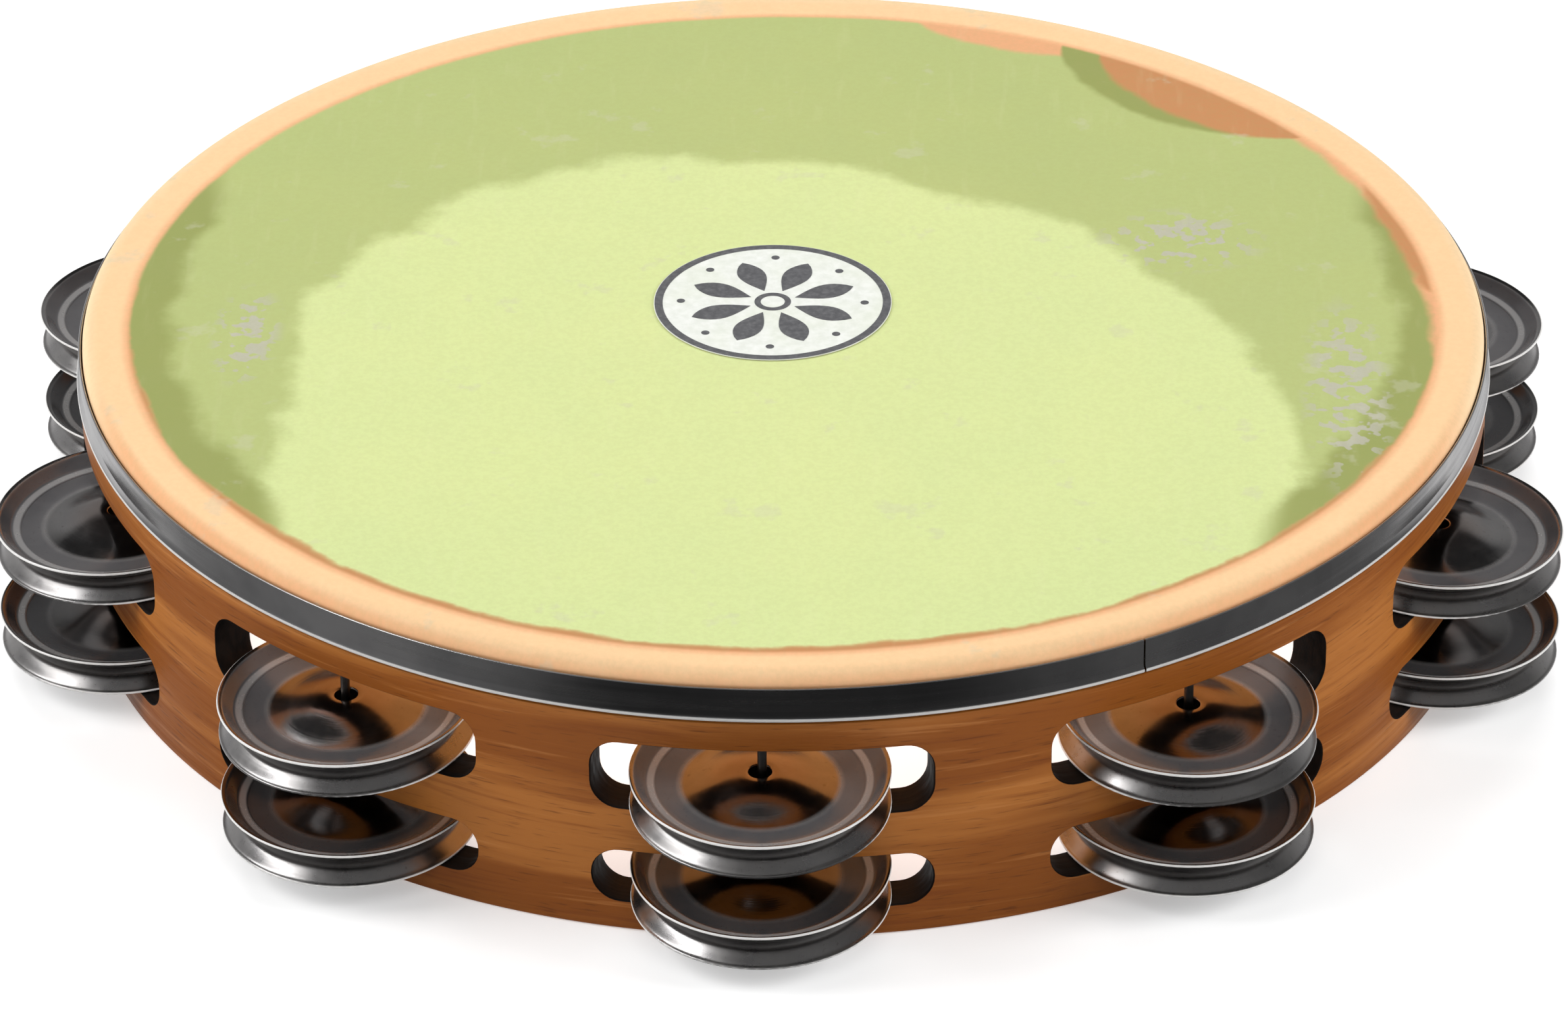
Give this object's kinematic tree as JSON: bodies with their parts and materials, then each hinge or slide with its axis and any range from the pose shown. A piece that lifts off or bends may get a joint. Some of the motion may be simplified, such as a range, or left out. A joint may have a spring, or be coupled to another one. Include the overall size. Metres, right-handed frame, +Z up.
{
  "type": "tambourine",
  "caption": "Headed tambourine: a round wooden shell with rows of slots where jingles slide on pins, a natural skin over its top edge and a thin metal hoop.",
  "frame": {"origin": "centre of the shell's bottom edge, on the surface that the tambourine stands on", "axes": "+Z up through the skin, -Y towards the first jingle place, +X to the right when that place is in front"},
  "size_m": [0.2782, 0.2904, 0.0529],
  "materials": {
    "wood": "stained orange brown, satin lacquer",
    "skin": "natural skin, matt, slightly translucent",
    "hoop": "black nickel plate, polished",
    "badge": "printed, matt",
    "pin": "drawn wire",
    "jingle": "black nickel plate, satin"
  },
  "bodies": {
    "shell": {"wooden_shell": "wood", "drum_skin": "skin", "metal_hoop": "hoop", "head_badge": "badge", "jingle_pin_01": "pin", "jingle_pin_02": "pin", "jingle_pin_03": "pin", "jingle_pin_04": "pin", "jingle_pin_05": "pin", "jingle_pin_06": "pin", "jingle_pin_07": "pin", "jingle_pin_08": "pin", "jingle_pin_09": "pin", "jingle_pin_10": "pin"},
    "upper_row_01_bottom_jingle": {"upper_row_01_bottom_jingle": "jingle"},
    "upper_row_01_top_jingle": {"upper_row_01_top_jingle": "jingle"},
    "upper_row_02_bottom_jingle": {"upper_row_02_bottom_jingle": "jingle"},
    "upper_row_02_top_jingle": {"upper_row_02_top_jingle": "jingle"},
    "upper_row_03_bottom_jingle": {"upper_row_03_bottom_jingle": "jingle"},
    "upper_row_03_top_jingle": {"upper_row_03_top_jingle": "jingle"},
    "upper_row_04_bottom_jingle": {"upper_row_04_bottom_jingle": "jingle"},
    "upper_row_04_top_jingle": {"upper_row_04_top_jingle": "jingle"},
    "upper_row_05_bottom_jingle": {"upper_row_05_bottom_jingle": "jingle"},
    "upper_row_05_top_jingle": {"upper_row_05_top_jingle": "jingle"},
    "upper_row_06_bottom_jingle": {"upper_row_06_bottom_jingle": "jingle"},
    "upper_row_06_top_jingle": {"upper_row_06_top_jingle": "jingle"},
    "upper_row_07_bottom_jingle": {"upper_row_07_bottom_jingle": "jingle"},
    "upper_row_07_top_jingle": {"upper_row_07_top_jingle": "jingle"},
    "upper_row_08_bottom_jingle": {"upper_row_08_bottom_jingle": "jingle"},
    "upper_row_08_top_jingle": {"upper_row_08_top_jingle": "jingle"},
    "upper_row_09_bottom_jingle": {"upper_row_09_bottom_jingle": "jingle"},
    "upper_row_09_top_jingle": {"upper_row_09_top_jingle": "jingle"},
    "upper_row_10_bottom_jingle": {"upper_row_10_bottom_jingle": "jingle"},
    "upper_row_10_top_jingle": {"upper_row_10_top_jingle": "jingle"},
    "lower_row_01_bottom_jingle": {"lower_row_01_bottom_jingle": "jingle"},
    "lower_row_01_top_jingle": {"lower_row_01_top_jingle": "jingle"},
    "lower_row_02_bottom_jingle": {"lower_row_02_bottom_jingle": "jingle"},
    "lower_row_02_top_jingle": {"lower_row_02_top_jingle": "jingle"},
    "lower_row_03_bottom_jingle": {"lower_row_03_bottom_jingle": "jingle"},
    "lower_row_03_top_jingle": {"lower_row_03_top_jingle": "jingle"},
    "lower_row_04_bottom_jingle": {"lower_row_04_bottom_jingle": "jingle"},
    "lower_row_04_top_jingle": {"lower_row_04_top_jingle": "jingle"},
    "lower_row_05_bottom_jingle": {"lower_row_05_bottom_jingle": "jingle"},
    "lower_row_05_top_jingle": {"lower_row_05_top_jingle": "jingle"},
    "lower_row_06_bottom_jingle": {"lower_row_06_bottom_jingle": "jingle"},
    "lower_row_06_top_jingle": {"lower_row_06_top_jingle": "jingle"},
    "lower_row_07_bottom_jingle": {"lower_row_07_bottom_jingle": "jingle"},
    "lower_row_07_top_jingle": {"lower_row_07_top_jingle": "jingle"},
    "lower_row_08_bottom_jingle": {"lower_row_08_bottom_jingle": "jingle"},
    "lower_row_08_top_jingle": {"lower_row_08_top_jingle": "jingle"},
    "lower_row_09_bottom_jingle": {"lower_row_09_bottom_jingle": "jingle"},
    "lower_row_09_top_jingle": {"lower_row_09_top_jingle": "jingle"},
    "lower_row_10_bottom_jingle": {"lower_row_10_bottom_jingle": "jingle"},
    "lower_row_10_top_jingle": {"lower_row_10_top_jingle": "jingle"}
  },
  "joints": [
    {"name": "upper_row_01_bottom_slide", "type": "slide", "parent": "shell", "child": "upper_row_01_bottom_jingle", "axis": [0, 0, 1], "range_m": [0, 0.0026]},
    {"name": "upper_row_01_top_slide", "type": "slide", "parent": "upper_row_01_bottom_jingle", "child": "upper_row_01_top_jingle", "axis": [0, 0, 1], "range_m": [0, 0.0026]},
    {"name": "upper_row_02_bottom_slide", "type": "slide", "parent": "shell", "child": "upper_row_02_bottom_jingle", "axis": [0, 0, 1], "range_m": [0, 0.0026]},
    {"name": "upper_row_02_top_slide", "type": "slide", "parent": "upper_row_02_bottom_jingle", "child": "upper_row_02_top_jingle", "axis": [0, 0, 1], "range_m": [0, 0.0026]},
    {"name": "upper_row_03_bottom_slide", "type": "slide", "parent": "shell", "child": "upper_row_03_bottom_jingle", "axis": [0, 0, 1], "range_m": [0, 0.0026]},
    {"name": "upper_row_03_top_slide", "type": "slide", "parent": "upper_row_03_bottom_jingle", "child": "upper_row_03_top_jingle", "axis": [0, 0, 1], "range_m": [0, 0.0026]},
    {"name": "upper_row_04_bottom_slide", "type": "slide", "parent": "shell", "child": "upper_row_04_bottom_jingle", "axis": [0, 0, 1], "range_m": [0, 0.0026]},
    {"name": "upper_row_04_top_slide", "type": "slide", "parent": "upper_row_04_bottom_jingle", "child": "upper_row_04_top_jingle", "axis": [0, 0, 1], "range_m": [0, 0.0026]},
    {"name": "upper_row_05_bottom_slide", "type": "slide", "parent": "shell", "child": "upper_row_05_bottom_jingle", "axis": [0, 0, 1], "range_m": [0, 0.0026]},
    {"name": "upper_row_05_top_slide", "type": "slide", "parent": "upper_row_05_bottom_jingle", "child": "upper_row_05_top_jingle", "axis": [0, 0, 1], "range_m": [0, 0.0026]},
    {"name": "upper_row_06_bottom_slide", "type": "slide", "parent": "shell", "child": "upper_row_06_bottom_jingle", "axis": [0, 0, 1], "range_m": [0, 0.0026]},
    {"name": "upper_row_06_top_slide", "type": "slide", "parent": "upper_row_06_bottom_jingle", "child": "upper_row_06_top_jingle", "axis": [0, 0, 1], "range_m": [0, 0.0026]},
    {"name": "upper_row_07_bottom_slide", "type": "slide", "parent": "shell", "child": "upper_row_07_bottom_jingle", "axis": [0, 0, 1], "range_m": [0, 0.0026]},
    {"name": "upper_row_07_top_slide", "type": "slide", "parent": "upper_row_07_bottom_jingle", "child": "upper_row_07_top_jingle", "axis": [0, 0, 1], "range_m": [0, 0.0026]},
    {"name": "upper_row_08_bottom_slide", "type": "slide", "parent": "shell", "child": "upper_row_08_bottom_jingle", "axis": [0, 0, 1], "range_m": [0, 0.0026]},
    {"name": "upper_row_08_top_slide", "type": "slide", "parent": "upper_row_08_bottom_jingle", "child": "upper_row_08_top_jingle", "axis": [0, 0, 1], "range_m": [0, 0.0026]},
    {"name": "upper_row_09_bottom_slide", "type": "slide", "parent": "shell", "child": "upper_row_09_bottom_jingle", "axis": [0, 0, 1], "range_m": [0, 0.0026]},
    {"name": "upper_row_09_top_slide", "type": "slide", "parent": "upper_row_09_bottom_jingle", "child": "upper_row_09_top_jingle", "axis": [0, 0, 1], "range_m": [0, 0.0026]},
    {"name": "upper_row_10_bottom_slide", "type": "slide", "parent": "shell", "child": "upper_row_10_bottom_jingle", "axis": [0, 0, 1], "range_m": [0, 0.0026]},
    {"name": "upper_row_10_top_slide", "type": "slide", "parent": "upper_row_10_bottom_jingle", "child": "upper_row_10_top_jingle", "axis": [0, 0, 1], "range_m": [0, 0.0026]},
    {"name": "lower_row_01_bottom_slide", "type": "slide", "parent": "shell", "child": "lower_row_01_bottom_jingle", "axis": [0, 0, 1], "range_m": [0, 0.0012]},
    {"name": "lower_row_01_top_slide", "type": "slide", "parent": "lower_row_01_bottom_jingle", "child": "lower_row_01_top_jingle", "axis": [0, 0, 1], "range_m": [0, 0.0012]},
    {"name": "lower_row_02_bottom_slide", "type": "slide", "parent": "shell", "child": "lower_row_02_bottom_jingle", "axis": [0, 0, 1], "range_m": [0, 0.0012]},
    {"name": "lower_row_02_top_slide", "type": "slide", "parent": "lower_row_02_bottom_jingle", "child": "lower_row_02_top_jingle", "axis": [0, 0, 1], "range_m": [0, 0.0012]},
    {"name": "lower_row_03_bottom_slide", "type": "slide", "parent": "shell", "child": "lower_row_03_bottom_jingle", "axis": [0, 0, 1], "range_m": [0, 0.0012]},
    {"name": "lower_row_03_top_slide", "type": "slide", "parent": "lower_row_03_bottom_jingle", "child": "lower_row_03_top_jingle", "axis": [0, 0, 1], "range_m": [0, 0.0012]},
    {"name": "lower_row_04_bottom_slide", "type": "slide", "parent": "shell", "child": "lower_row_04_bottom_jingle", "axis": [0, 0, 1], "range_m": [0, 0.0012]},
    {"name": "lower_row_04_top_slide", "type": "slide", "parent": "lower_row_04_bottom_jingle", "child": "lower_row_04_top_jingle", "axis": [0, 0, 1], "range_m": [0, 0.0012]},
    {"name": "lower_row_05_bottom_slide", "type": "slide", "parent": "shell", "child": "lower_row_05_bottom_jingle", "axis": [0, 0, 1], "range_m": [0, 0.0012]},
    {"name": "lower_row_05_top_slide", "type": "slide", "parent": "lower_row_05_bottom_jingle", "child": "lower_row_05_top_jingle", "axis": [0, 0, 1], "range_m": [0, 0.0012]},
    {"name": "lower_row_06_bottom_slide", "type": "slide", "parent": "shell", "child": "lower_row_06_bottom_jingle", "axis": [0, 0, 1], "range_m": [0, 0.0012]},
    {"name": "lower_row_06_top_slide", "type": "slide", "parent": "lower_row_06_bottom_jingle", "child": "lower_row_06_top_jingle", "axis": [0, 0, 1], "range_m": [0, 0.0012]},
    {"name": "lower_row_07_bottom_slide", "type": "slide", "parent": "shell", "child": "lower_row_07_bottom_jingle", "axis": [0, 0, 1], "range_m": [0, 0.0012]},
    {"name": "lower_row_07_top_slide", "type": "slide", "parent": "lower_row_07_bottom_jingle", "child": "lower_row_07_top_jingle", "axis": [0, 0, 1], "range_m": [0, 0.0012]},
    {"name": "lower_row_08_bottom_slide", "type": "slide", "parent": "shell", "child": "lower_row_08_bottom_jingle", "axis": [0, 0, 1], "range_m": [0, 0.0012]},
    {"name": "lower_row_08_top_slide", "type": "slide", "parent": "lower_row_08_bottom_jingle", "child": "lower_row_08_top_jingle", "axis": [0, 0, 1], "range_m": [0, 0.0012]},
    {"name": "lower_row_09_bottom_slide", "type": "slide", "parent": "shell", "child": "lower_row_09_bottom_jingle", "axis": [0, 0, 1], "range_m": [0, 0.0012]},
    {"name": "lower_row_09_top_slide", "type": "slide", "parent": "lower_row_09_bottom_jingle", "child": "lower_row_09_top_jingle", "axis": [0, 0, 1], "range_m": [0, 0.0012]},
    {"name": "lower_row_10_bottom_slide", "type": "slide", "parent": "shell", "child": "lower_row_10_bottom_jingle", "axis": [0, 0, 1], "range_m": [0, 0.0012]},
    {"name": "lower_row_10_top_slide", "type": "slide", "parent": "lower_row_10_bottom_jingle", "child": "lower_row_10_top_jingle", "axis": [0, 0, 1], "range_m": [0, 0.0012]}
  ]
}
